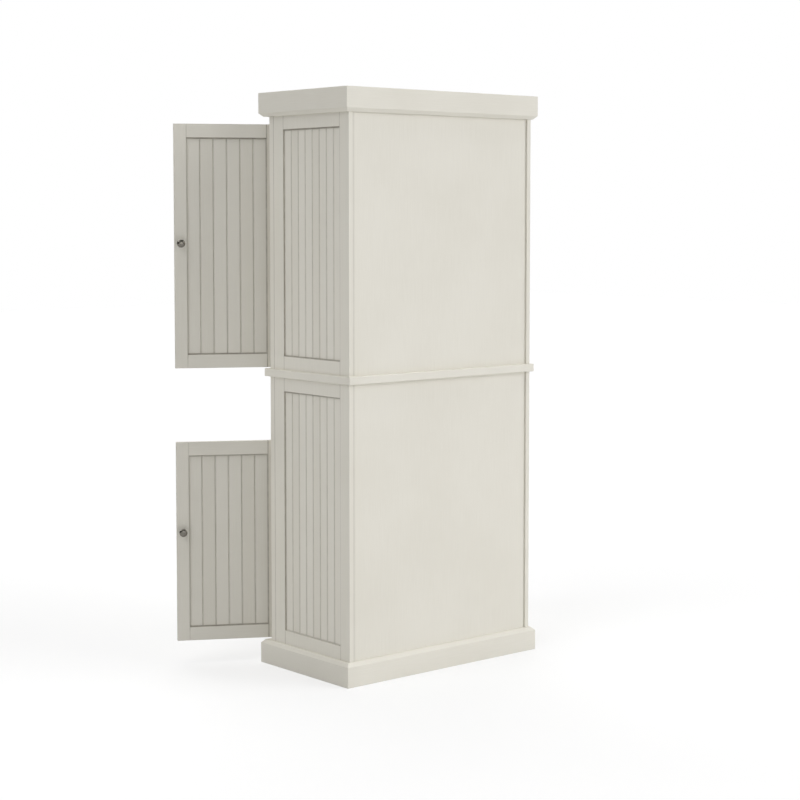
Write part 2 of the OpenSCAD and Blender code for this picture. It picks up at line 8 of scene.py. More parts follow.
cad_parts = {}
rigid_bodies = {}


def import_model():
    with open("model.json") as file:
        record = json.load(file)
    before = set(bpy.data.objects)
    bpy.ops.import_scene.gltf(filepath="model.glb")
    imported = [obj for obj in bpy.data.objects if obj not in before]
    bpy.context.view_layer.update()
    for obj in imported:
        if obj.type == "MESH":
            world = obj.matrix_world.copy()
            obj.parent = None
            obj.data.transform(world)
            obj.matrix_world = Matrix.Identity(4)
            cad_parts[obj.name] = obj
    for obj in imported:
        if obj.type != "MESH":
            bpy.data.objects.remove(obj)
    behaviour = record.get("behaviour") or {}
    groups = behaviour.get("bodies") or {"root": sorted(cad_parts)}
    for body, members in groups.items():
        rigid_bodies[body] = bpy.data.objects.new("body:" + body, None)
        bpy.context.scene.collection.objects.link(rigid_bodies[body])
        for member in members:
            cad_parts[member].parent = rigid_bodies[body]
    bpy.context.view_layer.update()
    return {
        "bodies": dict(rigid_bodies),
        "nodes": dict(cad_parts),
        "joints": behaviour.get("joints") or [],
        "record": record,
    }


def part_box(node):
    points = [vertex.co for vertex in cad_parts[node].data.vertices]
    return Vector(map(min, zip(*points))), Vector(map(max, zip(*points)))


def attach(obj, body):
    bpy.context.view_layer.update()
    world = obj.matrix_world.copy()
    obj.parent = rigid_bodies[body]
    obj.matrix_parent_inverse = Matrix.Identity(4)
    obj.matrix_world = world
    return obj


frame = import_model()

NODES = frame["nodes"]
BODY_OF = {n: body for body, names in frame["record"]["behaviour"]["bodies"].items() for n in names}
SLOT_OF = {part["node"]: part["material_slot"] for part in frame["record"]["subparts"]}
HINGES = {j["child"]: j for j in frame["joints"] if j["type"] == "hinge"}
BODIES = sorted(frame["bodies"])

# ---- Where things are ----------------------------------------------------------------------
# Every piece is drawn in its body's own frame: the row frame for the cabinet and the drawer,
# and for a door the row frame with that door closed.


def closed_frame(body):
    """The matrix from the row frame to the body's own frame. A door turns shut about its hinge."""
    if body not in HINGES:
        return Matrix.Identity(4)
    joint = HINGES[body]
    pivot = Matrix.Translation(joint["pos_m"])
    shut = math.radians(joint["range_deg"][0])
    return pivot @ Matrix.Rotation(shut, 4, Vector(joint["axis"])) @ pivot.inverted()


CLOSED = {body: closed_frame(body) for body in BODIES}


def corners(points):
    """Lowest and highest corner of some points."""
    return (
        Vector(min(p[i] for p in points) for i in range(3)),
        Vector(max(p[i] for p in points) for i in range(3)),
    )


# Decimals of a metre to which points are one point, and boxes are put in order
POINT_DIGITS = 6
ORDER_DIGITS = 4


def solids(node):
    """The boxes of a CAD node's separate solids, in its body's own frame, in order of place."""
    mesh = NODES[node].data
    to_own = CLOSED[BODY_OF[node]]
    welded = {}
    points = [tuple(round(c, POINT_DIGITS) for c in v.co) for v in mesh.vertices]
    spot = [welded.setdefault(point, len(welded)) for point in points]
    owner = list(range(len(welded)))

    def find(i):
        while owner[i] != i:
            owner[i] = owner[owner[i]]
            i = owner[i]
        return i

    for edge in mesh.edges:
        a, b = (find(spot[v]) for v in edge.vertices)
        owner[a] = b
    groups = {}
    for v in mesh.vertices:
        groups.setdefault(find(spot[v.index]), []).append(to_own @ v.co)
    boxes = [corners(group) for group in groups.values()]
    return sorted(boxes, key=lambda box: tuple(round(c, ORDER_DIGITS) for c in box[0]))


# ---- The openings that the panels fill -----------------------------------------------------

# How far a beadboard panel runs into its frame, and a back panel into its rabbets
TONGUE = 0.008
BACK_LIP = 0.003
DOOR_BOARDS = 6
SIDE_BOARDS = 8


class Opening:
    """The rectangle that a frame leaves open for its panel, in the body's own frame. across is
    the axis, 0 or 1, along which the panel's boards follow each other. edge is how much of the
    panel's own border the frame hides, and reach how far the glaze and painted shade run on to
    the panel. side_glaze is how much of them there is at the opening's low and high
    side, and end_glaze how much at its foot and its head."""

    def __init__(self, panel, across, boards, edge, reach, side_glaze, end_glaze):
        low, high = solids(panel)[0]
        self.across = across
        self.sides = (low[across] + edge, high[across] - edge)
        self.ends = (low.z + edge, high.z - edge)
        self.boards = boards
        self.reach = reach
        self.side_glaze = side_glaze
        self.end_glaze = end_glaze


# How much glaze and painted shade lie along each opening's edges: at a door's lock side and its
# hinge side, at the front and the back of the cabinet's side, and then at the foot and the head
# of each opening. The glaze was wiped unevenly, and painted shade darkens the lines under the
# rails and along a door's hinge side.
LOCK_AND_HINGE = (0.25, 0.68)
FRONT_AND_BACK = (0.42, 0.38)
FOOT_AND_HEAD = {
    "upper_door": (0.8, 0.88),
    "lower_door": (0.7, 0.64),
    "upper_side": (0.64, 0.8),
    "lower_side": (0.36, 0.78),
}
BEADED = {"edge": TONGUE, "reach": 0.0053}
# A back panel's line along its high side is painted shade: the shadow beside the side's proud rear
# edge
PLAIN = {"edge": BACK_LIP, "reach": 0.012, "side_glaze": (0.0, 0.24), "end_glaze": (0, 0)}
OPENINGS = {}
for level in ("upper", "lower"):
    for side in ("right", "left"):
        unit = f"{side}_{level}"
        door_sides = LOCK_AND_HINGE if side == "right" else tuple(reversed(LOCK_AND_HINGE))
        OPENINGS[unit + "_door"] = Opening(
            unit + "_door_panel", 0, DOOR_BOARDS,
            side_glaze=door_sides, end_glaze=FOOT_AND_HEAD[level + "_door"], **BEADED,
        )
        OPENINGS[unit + "_side"] = Opening(
            unit + "_side_panel", 1, SIDE_BOARDS,
            side_glaze=FRONT_AND_BACK, end_glaze=FOOT_AND_HEAD[level + "_side"], **BEADED,
        )
    OPENINGS[level + "_back"] = Opening(level + "_back_panel", 0, 1, **PLAIN)
FACE_FRAME_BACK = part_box("upper_face_frame_rail")[1].y


def opening_of(node):
    """The opening that a frame's member or a panel belongs to, or None."""
    words = node.split("_")
    for key in ("_".join(words[:3]), "_".join(words[:2])):
        if key in OPENINGS:
            return key
    return None


CAMERA_PLACE = (3.852, 4.534, 1.447)
CAMERA_YAW = 139.652
CAMERA_TILT = -3.932
CAMERA_LENS = 82.63
CAMERA_SHIFT = -0.075
SENSOR_WIDTH = 36

# A light's heading and height say where it stands, and its spread how large it looks
LIGHTS = {
    "key": {"heading": 221, "height": 23, "strength": 1.77, "spread": 45},
    "back_fill": {"heading": 200, "height": 20, "strength": 0.2, "spread": 45},
    "overhead": {"heading": 0, "height": 88, "strength": 1.05, "spread": 45},
    "side_fill": {"heading": 95, "height": 45, "strength": 1.12, "spread": 45},
    "front_fill": {"heading": 335, "height": 35, "strength": 1.3, "spread": 60},
}

# The faint light from all round
AMBIENT = 0.035

# What shiny faces mirror: the heading of one soft box and the angle from its middle to its
# edge, then the strength of the studio round it and its own, which it has over its inner half
SOFT_BOX = {"heading": 156, "reach": 27, "dim": 0.01, "bright": 1.6}

FLOOR_SIZE = 40
FLOOR_CELLS = 8

# The floor's grey where it lights the object and where the camera sees it, and the strength of
# the light that is laid over it there
FLOOR_BOUNCE = 0.76
FLOOR_SEEN = 0.38
FLOOR_WASH = 0.6


def grey(value):
    return (value, value, value, 1)


def make_camera():
    data = bpy.data.cameras.new("camera")
    data.lens = CAMERA_LENS
    data.sensor_width = SENSOR_WIDTH
    data.shift_y = CAMERA_SHIFT
    camera = bpy.data.objects.new("camera", data)
    camera.location = CAMERA_PLACE
    camera.rotation_euler = (math.radians(90 + CAMERA_TILT), 0, math.radians(CAMERA_YAW))
    bpy.context.scene.collection.objects.link(camera)
    bpy.context.scene.camera = camera


def make_light(name, heading, height, strength, spread):
    """A large distant studio light."""
    data = bpy.data.lights.new(name, "SUN")
    data.energy = strength
    data.angle = math.radians(spread)
    light = bpy.data.objects.new(name, data)
    light.rotation_euler = (math.radians(90 - height), 0, math.radians(heading))
    bpy.context.scene.collection.objects.link(light)


def make_world():
    """A white backdrop, with faint light from all round. What shines mirrors a dim studio with
    two round soft boxes that face each other."""
    world = bpy.data.worlds.new("studio")
    bpy.context.scene.world = world
    world.use_nodes = True
    tree = world.node_tree
    tree.nodes.clear()

    def backdrop(strength):
        node = tree.nodes.new("ShaderNodeBackground")
        node.inputs["Color"].default_value = grey(1)
        node.inputs["Strength"].default_value = strength
        return node

    def choose(factor, a, b):
        mix = tree.nodes.new("ShaderNodeMixShader")
        for socket, source in zip(mix.inputs, (factor, a.outputs[0], b.outputs[0])):
            tree.links.new(source, socket)
        return mix

    path = tree.nodes.new("ShaderNodeLightPath")
    direction = tree.nodes.new("ShaderNodeTexCoord")
    facing = tree.nodes.new("ShaderNodeVectorMath")
    facing.operation = "DOT_PRODUCT"
    heading = math.radians(SOFT_BOX["heading"])
    facing.inputs[1].default_value = (math.sin(heading), -math.cos(heading), 0)
    both = tree.nodes.new("ShaderNodeMath")
    both.operation = "ABSOLUTE"
    edge = tree.nodes.new("ShaderNodeMapRange")
    edge.inputs["From Min"].default_value = math.cos(math.radians(SOFT_BOX["reach"]))
    edge.inputs["From Max"].default_value = math.cos(math.radians(SOFT_BOX["reach"] / 2))
    edge.inputs["To Min"].default_value = SOFT_BOX["dim"]
    edge.inputs["To Max"].default_value = SOFT_BOX["bright"]
    tree.links.new(direction.outputs["Generated"], facing.inputs[0])
    tree.links.new(facing.outputs["Value"], both.inputs[0])
    tree.links.new(both.outputs[0], edge.inputs["Value"])
    mirrored = backdrop(1.0)
    tree.links.new(edge.outputs["Result"], mirrored.inputs["Strength"])
    around = choose(path.outputs["Is Glossy Ray"], backdrop(AMBIENT), mirrored)
    seen = choose(path.outputs["Is Camera Ray"], around, backdrop(1.0))
    out = tree.nodes.new("ShaderNodeOutputWorld")
    tree.links.new(seen.outputs[0], out.inputs["Surface"])


def floor_material():
    """A white studio floor that washes out to the backdrop and keeps a faint shadow."""
    material = bpy.data.materials.new("studio_floor")
    material.use_nodes = True
    tree = material.node_tree
    tree.nodes.clear()
    bounce = tree.nodes.new("ShaderNodeBsdfDiffuse")
    bounce.inputs["Color"].default_value = grey(FLOOR_BOUNCE)
    shaded = tree.nodes.new("ShaderNodeBsdfDiffuse")
    shaded.inputs["Color"].default_value = grey(FLOOR_SEEN)
    wash = tree.nodes.new("ShaderNodeEmission")
    wash.inputs["Strength"].default_value = FLOOR_WASH
    seen = tree.nodes.new("ShaderNodeAddShader")
    path = tree.nodes.new("ShaderNodeLightPath")
    mix = tree.nodes.new("ShaderNodeMixShader")
    out = tree.nodes.new("ShaderNodeOutputMaterial")
    tree.links.new(shaded.outputs[0], seen.inputs[0])
    tree.links.new(wash.outputs[0], seen.inputs[1])
    tree.links.new(path.outputs["Is Camera Ray"], mix.inputs[0])
    tree.links.new(bounce.outputs[0], mix.inputs[1])
    tree.links.new(seen.outputs[0], mix.inputs[2])
    tree.links.new(mix.outputs[0], out.inputs["Surface"])
    return material


def make_floor():
    cells = {"x_subdivisions": FLOOR_CELLS, "y_subdivisions": FLOOR_CELLS}
    bpy.ops.mesh.primitive_grid_add(size=FLOOR_SIZE, **cells)
    floor = bpy.context.object
    floor.name = "floor"
    floor.data.materials.append(floor_material())


make_camera()
make_world()
for name, light in LIGHTS.items():
    make_light(name, **light)
make_floor()
bpy.context.scene.view_settings.view_transform = "Standard"

# ---- Materials -----------------------------------------------------------------------------

# The Mix node's colour sockets have the names of its number sockets, so they go by number
MIX_A, MIX_B, MIX_RESULT = 6, 7, 2

# Where nearly all of a noise's values lie
NOISE_LOW, NOISE_HIGH = 0.3, 0.7

CREVICE_SAMPLES = 8


class Recipe:
    """A Principled material, with short calls that add shader nodes to it."""

    def __init__(self, name):
        self.material = bpy.data.materials.new(name)
        self.material.use_nodes = True
        self.tree = self.material.node_tree
        self.surface = self.tree.nodes["Principled BSDF"]

    def add(self, kind, inputs=None, **settings):
        node = self.tree.nodes.new("ShaderNode" + kind)
        for key, value in settings.items():
            setattr(node, key, value)
        for key, value in (inputs or {}).items():
            self.put(node.inputs[key], value)
        return node

    def put(self, socket, value):
        if isinstance(value, bpy.types.NodeSocket):
            self.tree.links.new(value, socket)
        else:
            socket.default_value = value

    def set(self, **values):
        for key, value in values.items():
            self.put(self.surface.inputs[key.replace("_", " ")], value)

    def place(self, body):
        """Coordinates in metres in the body's own frame."""
        coords = self.add("TexCoord").outputs["Object"]
        turn = CLOSED[body]
        if turn == Matrix.Identity(4):
            return coords
        mapping = self.add("Mapping", {"Vector": coords})
        mapping.inputs["Location"].default_value = turn.to_translation()
        mapping.inputs["Rotation"].default_value = turn.to_euler()
        return mapping.outputs["Vector"]

    def stretch(self, vector, scale):
        mapping = self.add("Mapping", {"Vector": vector})
        mapping.inputs["Scale"].default_value = scale
        return mapping.outputs["Vector"]

    def noise(self, vector, scale, detail=3.0, roughness=0.5, distortion=0.0):
        return self.add(
            "TexNoise",
            {
                "Vector": vector,
                "Scale": scale,
                "Detail": detail,
                "Roughness": roughness,
                "Distortion": distortion,
            },
        ).outputs["Fac"]

    def streaks(self, vector, scales, **settings):
        """A noise with its own scale along each axis."""
        return self.noise(self.stretch(vector, scales), 1.0, **settings)

    def math(self, operation, a, b=0.0):
        node = self.add("Math", operation=operation)
        self.put(node.inputs[0], a)
        self.put(node.inputs[1], b)
        return node.outputs[0]

    def times(self, a, b):
        return self.math("MULTIPLY", a, b)

    def most(self, *values):
        """The largest of some values."""
        largest, *others = values
        for value in others:
            largest = self.math("MAXIMUM", largest, value)
        return largest

    def fit(self, value, low, high, to_low=0.0, to_high=1.0):
        """The value eased from one range to another, held at its ends."""
        return self.add(
            "MapRange",
            {"Value": value, "From Min": low, "From Max": high, "To Min": to_low, "To Max": to_high},
            interpolation_type="SMOOTHSTEP",
        ).outputs["Result"]

    def spread(self, noise, to_low=0.0, to_high=1.0):
        """A noise spread over a range."""
        return self.fit(noise, NOISE_LOW, NOISE_HIGH, to_low, to_high)

    def near(self, value, at, reach):
        """1 where the value is at a place, falling to 0 at a distance from it."""
        return self.fit(self.math("ABSOLUTE", self.math("SUBTRACT", value, at)), 0.0, reach, 1.0, 0.0)

    def mix(self, factor, a, b):
        node = self.add("Mix", data_type="RGBA")
        self.put(node.inputs["Factor"], factor)
        self.put(node.inputs[MIX_A], a)
        self.put(node.inputs[MIX_B], b)
        return node.outputs[MIX_RESULT]

    def crevice(self, distance):
        """0 on open faces, rising towards 1 where other faces are closer than the distance."""
        shade = self.add("AmbientOcclusion", {"Distance": distance}, samples=CREVICE_SAMPLES)
        return self.math("SUBTRACT", 1.0, shade.outputs["AO"])

    def bump(self, height, distance, onto=None):
        inputs = {"Height": height, "Distance": distance}
        if onto is not None:
            inputs["Normal"] = onto
        return self.add("Bump", inputs).outputs["Normal"]


made_materials = {}


def once(name, make):
    """The material of that name, made the first time that it is asked for."""
    if name not in made_materials:
        made_materials[name] = make(Recipe(name))
    return made_materials[name]


# ---- Paint, glaze and painted shade --------------------------------------------------------

WARM_WHITE = (0.80, 0.775, 0.70, 1)
SHADED_WHITE = (0.765, 0.738, 0.66, 1)
# The colour of the glaze, and of the painted shade in corners, grooves and along the panels' edges
GLAZE_AND_SHADE = (0.20, 0.17, 0.125, 1)

# The paint's tone is part brush strokes and part slow clouds, and its shade follows the tone
# between two values. A panel's board may be this much lighter or darker than its neighbours.
STROKES_SHARE, CLOUDS_SHARE = 0.45, 0.55
CLOUDS = {"scale": 3.5, "detail": 3.0}
SHADE_FROM, SHADE_TO = 0.35, 0.65
BOARD_TONE = 0.13

PAINT_ROUGHNESS = (0.52, 0.64)
PAINT_SPECULAR = 0.3

# The paint's fine peel and its brush strokes, and how deep they are
PEEL = {"scale": 420.0, "detail": 2.0}
PEEL_DEPTH = 0.00003
STROKE_DETAIL = 2.0
STROKE_DEPTH = 0.00006

# The glaze and painted shade are uneven: patches of them keep at least this much
PATCHES = {"scale": 40.0, "detail": 3.0}
THINNEST = 0.76

# How far the glaze and painted shade reach from a joint, a groove's middle and a door's outer
# edge, and how near two faces are in a corner that is darkened with painted shade and glaze
JOINT = 0.0024
GROOVE = 0.0046
RIM = 0.003
CREVICE = 0.005

# How much darkening there is in a plain corner, where it is painted shade and glaze, the seam
# behind the face frame, a groove and on a door's outer edge, and how closed in a corner is where
# it starts to gather and where it is full
CREVICE_SHADE_AND_GLAZE = 0.1
SEAM_GLAZE = 0.5
GROOVE_SHADE_AND_GLAZE = 0.34
RIM_DARKENING = 0.22
OPEN_CORNER, CLOSED_CORNER = 0.15, 0.8


def glaze_and_shade_lines(m, place, opening, reach):
    """How much glaze and painted shade there is on the edge of a frame's opening, where the
    members' joints lie too. The lines at the opening's ends stop at its sides."""
    split = m.add("SeparateXYZ", {"Vector": place}).outputs

    def lines(value, places, strengths):
        return m.most(*(m.times(m.near(value, at, reach), s) for at, s in zip(places, strengths)))

    along, up = split[opening.across], split["Z"]
    low, high = opening.sides
    inside = m.times(m.math("GREATER_THAN", along, low), m.math("LESS_THAN", along, high))
    ends = m.times(lines(up, opening.ends, opening.end_glaze), inside)
    return m.most(lines(along, opening.sides, opening.side_glaze), ends)


def boards(m, place, opening):
    """For a panel's boards: 1 in the grooves between them, and each board's own number."""
    along = m.add("SeparateXYZ", {"Vector": place}).outputs[opening.across]
    low, high = opening.sides
    pitch = (high - low) / opening.boards
    count = m.math("DIVIDE", m.math("SUBTRACT", along, low), pitch)
    away = m.math("ABSOLUTE", m.math("SUBTRACT", count, m.math("ROUND", count)))
    return m.fit(away, 0.0, GROOVE / pitch, 1.0, 0.0), m.math("FLOOR", count)


def rim_lines(m, place, door):
    """1 on a door's outer edges, where the colour is darkened."""
    across, _, up = m.add("SeparateXYZ", {"Vector": place}).outputs
    low, high = corners([corner for box in solids(door + "_stiles") for corner in box])
    upright = [m.near(across, at, RIM) for at in (low.x, high.x)]
    level = [m.near(up, at, RIM) for at in (low.z, high.z)]
    return m.most(*upright, *level)


def seam_line(m, place):
    """1 where the face frame meets the cabinet's side."""
    depth = m.add("SeparateXYZ", {"Vector": place}).outputs["Y"]
    return m.near(depth, FACE_FRAME_BACK, JOINT)


def paint(body, strokes, node=""):
    """Brushed satin paint, with taupe glaze wiped into the joints, round the panels and into
    the grooves between their boards, and painted shade in the corners, in the grooves and along
    the panels' edges. node adds the lines that belong on that node."""
    opening = OPENINGS.get(opening_of(node))
    is_panel = node.endswith("_panel")
    has_boards = is_panel and opening.boards > 1

    def make(m):
        place = m.place(body)
        brushed = m.streaks(place, strokes, detail=STROKE_DETAIL)
        clouds = m.times(m.noise(place, **CLOUDS), CLOUDS_SHARE)
        tone = m.math("ADD", m.times(brushed, STROKES_SHARE), clouds)
        # Painted shade and glaze darken the colour where other faces close in, from ambient occlusion
        glaze_and_shade = m.times(m.fit(m.crevice(CREVICE), OPEN_CORNER, CLOSED_CORNER), CREVICE_SHADE_AND_GLAZE)
        if opening:
            glaze_and_shade = m.most(glaze_and_shade, glaze_and_shade_lines(m, place, opening, opening.reach if is_panel else JOINT))
        if has_boards:
            # The grooves between the boards are darkened: part glaze, part painted shade
            groove, number = boards(m, place, opening)
            glaze_and_shade = m.most(glaze_and_shade, m.times(groove, GROOVE_SHADE_AND_GLAZE))
            own = m.add("TexWhiteNoise", {"W": number}, noise_dimensions="1D").outputs["Value"]
            tone = m.math("ADD", tone, m.fit(own, 0.0, 1.0, -BOARD_TONE, BOARD_TONE))
        if body in HINGES and not is_panel:
            glaze_and_shade = m.most(glaze_and_shade, m.times(rim_lines(m, place, body), RIM_DARKENING))
        if node.endswith("side_frame") or node.endswith("face_frame_stiles"):
            glaze_and_shade = m.most(glaze_and_shade, m.times(seam_line(m, place), SEAM_GLAZE))
        patchy = m.spread(m.noise(place, **PATCHES), THINNEST, 1.0)
        colour = m.mix(m.fit(tone, SHADE_FROM, SHADE_TO), SHADED_WHITE, WARM_WHITE)
        m.set(
            Base_Color=m.mix(m.times(glaze_and_shade, patchy), colour, GLAZE_AND_SHADE),
            Roughness=m.spread(brushed, *PAINT_ROUGHNESS),
            Specular_IOR_Level=PAINT_SPECULAR,
        )
        stroke_normal = m.bump(brushed, STROKE_DEPTH)
        m.set(Normal=m.bump(m.noise(place, **PEEL), PEEL_DEPTH, onto=stroke_normal))
        return m.material

    return make


# ---- Wood, metal and plastic ---------------------------------------------------------------

BIRCH_PALE = (0.70, 0.53, 0.34, 1)
BIRCH_DEEP = (0.58, 0.40, 0.23, 1)
BIRCH_PORE = (0.40, 0.25, 0.13, 1)

# Bands are this much wider than fibres. Pores are where the fibres' noise passes a value, and
# cover at most this much of the wood's colour.
FIBRES = {"detail": 5.0, "roughness": 0.6}
BANDS = {"distortion": 0.6}
BAND_WIDTH = 14
PORE_FROM, PORE_TO = 0.5, 0.75
PORE_COVER = 0.55
WOOD_ROUGHNESS = (0.4, 0.58)
FIBRE_DEPTH = 0.00008

# Pairs of colours between which each material varies
BRONZE = ((0.19, 0.178, 0.155, 1), (0.26, 0.244, 0.212, 1))
BRONZE_ROUGHNESS = (0.12, 0.24)
MOTTLE = {"scale": 260.0, "detail": 5.0, "roughness": 0.65}
WORN_FROM, WORN_TO = 0.42, 0.7
PITS = {"scale": 900.0}
PIT_DEPTH = 0.00003

NICKEL = ((0.52, 0.50, 0.46, 1), (0.68, 0.66, 0.62, 1))
NICKEL_ROUGHNESS = (0.24, 0.38)
BRUSHED = (2600.0, 2600.0, 60.0)
BRUSHED_DEPTH = 0.00002
DIRT = (0.10, 0.09, 0.08, 1)
DIRT_REACH = 0.0025
DIRT_FROM, DIRT_TO = 0.3, 0.9
DIRT_COVER = 0.6

FERRITE = ((0.035, 0.034, 0.033, 1), (0.07, 0.068, 0.066, 1))
FERRITE_ROUGHNESS = (0.6, 0.8)
FERRITE_GRAIN = {"scale": 1100.0, "detail": 4.0}
FERRITE_DEPTH = 0.00005

PLASTIC = ((0.80, 0.79, 0.75, 1), (0.86, 0.85, 0.82, 1))
PLASTIC_ROUGHNESS = (0.38, 0.52)
PLASTIC_TINT = {"scale": 30.0}
SPARK_GRAIN = {"scale": 1400.0}
SPARK_DEPTH = 0.00004


def wood(strokes, painted_above=None):
    """Pale lacquered birch: long fibres, darker pores and slow bands. Paint covers what is
    above a given height, where the cabinet's own paint ran over the board's top."""

    def make(m):
        place = m.place("cabinet")
        fibres = m.streaks(place, strokes, **FIBRES)
        wide = tuple(s / BAND_WIDTH for s in strokes)
        bands = m.spread(m.streaks(place, wide, **BANDS))
        pores = m.fit(fibres, PORE_FROM, PORE_TO, 0.0, PORE_COVER)
        colour = m.mix(pores, m.mix(bands, BIRCH_PALE, BIRCH_DEEP), BIRCH_PORE)
        if painted_above is not None:
            height = m.add("SeparateXYZ", {"Vector": place}).outputs["Z"]
            over = m.math("GREATER_THAN", height, painted_above)
            colour = m.mix(over, colour, m.mix(bands, SHADED_WHITE, WARM_WHITE))
        m.set(
            Base_Color=colour,
            Roughness=m.spread(fibres, *WOOD_ROUGHNESS),
            Normal=m.bump(fibres, FIBRE_DEPTH),
        )
        return m.material

    return make


def aged_metal(m):
    """Dark oil-rubbed bronze, mottled, with lighter metal where the coating has thinned."""
    place = m.place("cabinet")
    mottle = m.noise(place, **MOTTLE)
    m.set(
        Base_Color=m.mix(m.fit(mottle, WORN_FROM, WORN_TO), *BRONZE),
        Metallic=1.0,
        Roughness=m.spread(mottle, *BRONZE_ROUGHNESS),
        Normal=m.bump(m.noise(place, **PITS), PIT_DEPTH),
    )
    return m.material


def nickel(m):
    """Satin nickel, finely brushed, with a little dirt in its corners."""
    place = m.place("cabinet")
    brushed = m.streaks(place, BRUSHED)
    dirt = m.fit(m.crevice(DIRT_REACH), DIRT_FROM, DIRT_TO, 0.0, DIRT_COVER)
    m.set(
        Base_Color=m.mix(dirt, m.mix(m.spread(brushed), *NICKEL), DIRT),
        Metallic=1.0,
        Roughness=m.spread(brushed, *NICKEL_ROUGHNESS),
        Normal=m.bump(brushed, BRUSHED_DEPTH),
    )
    return m.material


def ferrite(m):
    """The dull dark ceramic of a catch's magnet."""
    grain = m.noise(m.place("cabinet"), **FERRITE_GRAIN)
    m.set(
        Base_Color=m.mix(m.fit(grain, SHADE_FROM, SHADE_TO), *FERRITE),
        Roughness=m.spread(grain, *FERRITE_ROUGHNESS),
        Normal=m.bump(grain, FERRITE_DEPTH),
    )
    return m.material


def moulded_plastic(m):
    """White moulded plastic with a fine spark-eroded grain."""
    place = m.place("cabinet")
    grain = m.noise(place, **SPARK_GRAIN)
    m.set(
        Base_Color=m.mix(m.spread(m.noise(place, **PLASTIC_TINT)), *PLASTIC),
        Roughness=m.spread(grain, *PLASTIC_ROUGHNESS),
        Normal=m.bump(grain, SPARK_DEPTH),
    )
    return m.material


# ---- Finishing the CAD nodes ---------------------------------------------------------------

# The noise scale along each axis, for each direction in which brush strokes and fibres run
STROKES = {
    "X": (12.0, 700.0, 700.0),
    "Y": (700.0, 12.0, 700.0),
    "Z": (700.0, 700.0, 12.0),
}

# How far the paint on a board's top runs down its sides
PAINT_EDGE = 0.0012

# How far the edges of a slot's pieces are rounded, and in how many steps
EDGE_OF_SLOT = {
    "painted_wood": 0.0009,
    "beadboard": 0.0005,
    "inside_paint": 0.0008,
    "bare_wood": 0.0008,
    "catch_plastic": 0.0006,
}
EDGE_STEPS = 2

# The mesh's triangles are joined again across corners flatter than one angle, and corners
# sharper than another are rounded, both in degrees
FLAT = 1
SHARP = 30
SAME_PLACE = 1e-5


def grain_direction(node):
    """The direction in which a board was brushed or its fibres run: along its longest side."""
    low, high = solids(node)[-1]
    size = high - low
    return max(STROKES, key=lambda axis: getattr(size, axis.lower()))


def finish_node(node):
    """The material of a CAD node, from its slot, its body and its longest side."""
    slot, body = SLOT_OF[node], BODY_OF[node]
    axis = grain_direction(node)
    strokes = STROKES[axis]
    if node == "plinth_bracing":
        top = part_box(node)[1].z
        return once("birch_painted_on_top", wood(strokes, painted_above=top - PAINT_EDGE))
    if slot == "bare_wood":
        return once("birch_" + axis, wood(strokes))
    if slot == "aged_metal":
        return once("aged_bronze", aged_metal)
    if slot == "steel":
        return once("satin_nickel", nickel)
    if slot == "catch_plastic":
        return once("white_plastic", moulded_plastic)
    if opening_of(node) or node.endswith("face_frame_stiles"):
        return once("paint_" + node, paint(body, strokes, node))
    return once(f"{slot}_{body.split('_')[0]}_{axis}", paint(body, strokes))


def soften(piece, width):
    """Rounds a CAD piece's sharp edges, as sanding and paint do."""
    weld = piece.modifiers.new("weld", "WELD")
    weld.merge_threshold = SAME_PLACE
    flat = piece.modifiers.new("flat", "DECIMATE")
    flat.decimate_type = "DISSOLVE"
    flat.angle_limit = math.radians(FLAT)
    bevel = piece.modifiers.new("bevel", "BEVEL")
    bevel.width = width
    bevel.segments = EDGE_STEPS
    bevel.limit_method = "ANGLE"
    bevel.angle_limit = math.radians(SHARP)
    bevel.use_clamp_overlap = True
    normals = piece.modifiers.new("normals", "WEIGHTED_NORMAL")
    normals.keep_sharp = True


for name, piece in NODES.items():
    piece.data.materials.clear()
    piece.data.materials.append(finish_node(name))
    if SLOT_OF[name] in EDGE_OF_SLOT:
        soften(piece, EDGE_OF_SLOT[SLOT_OF[name]])

# ---- Screws, poles and magnets -------------------------------------------------------------
# Each is drawn on a seat: a matrix in the body's own frame, whose Z points out of the face.

# How far each reaches into the face below it
SUNK = 0.0003

FLUSH = {"radius": 0.003, "proud": 0.0002}
SMALL_FLUSH = {"radius": 0.0022, "proud": 0.0002}
PAN = {"radius": 0.0036, "proud": 0.0014}
KNOB_SCREW = {"radius": 0.0045, "proud": 0.0018}

# A head's rings from its edge to its flat top, as shares of its radius and height
HEAD_PROFILE = ((1.0, 0.35), (0.94, 0.72), (0.83, 0.94), (0.7, 1.0))
HEAD_STEPS = 28

# The cross recess: its arms' length and half width as shares of the head's radius, and the
# height of its bottom as a share of the head's
CROSS_ARM = 0.56
CROSS_HALF_WIDTH = 0.13
CROSS_BOTTOM = 0.25

# How far each screw is turned from the one before, in radians, so that no two crosses line up
TURN = 2.4

# Steps round a bar's corner
CORNER_STEPS = 6


def seat(x, y, z, out):
    """The seat at a point of a face that looks along out."""
    return Matrix.Translation((x, y, z)) @ Vector(out).to_track_quat("Z", "X").to_matrix().to_4x4()


def cross_outline(arm, half):
    """The outline of a cross: three points for each arm, turned a quarter round each time."""
    points = [(arm, -half), (arm, half), (half, half)]
    for _ in range(3):
        points += [(-y, x) for x, y in points[-3:]]
    return points


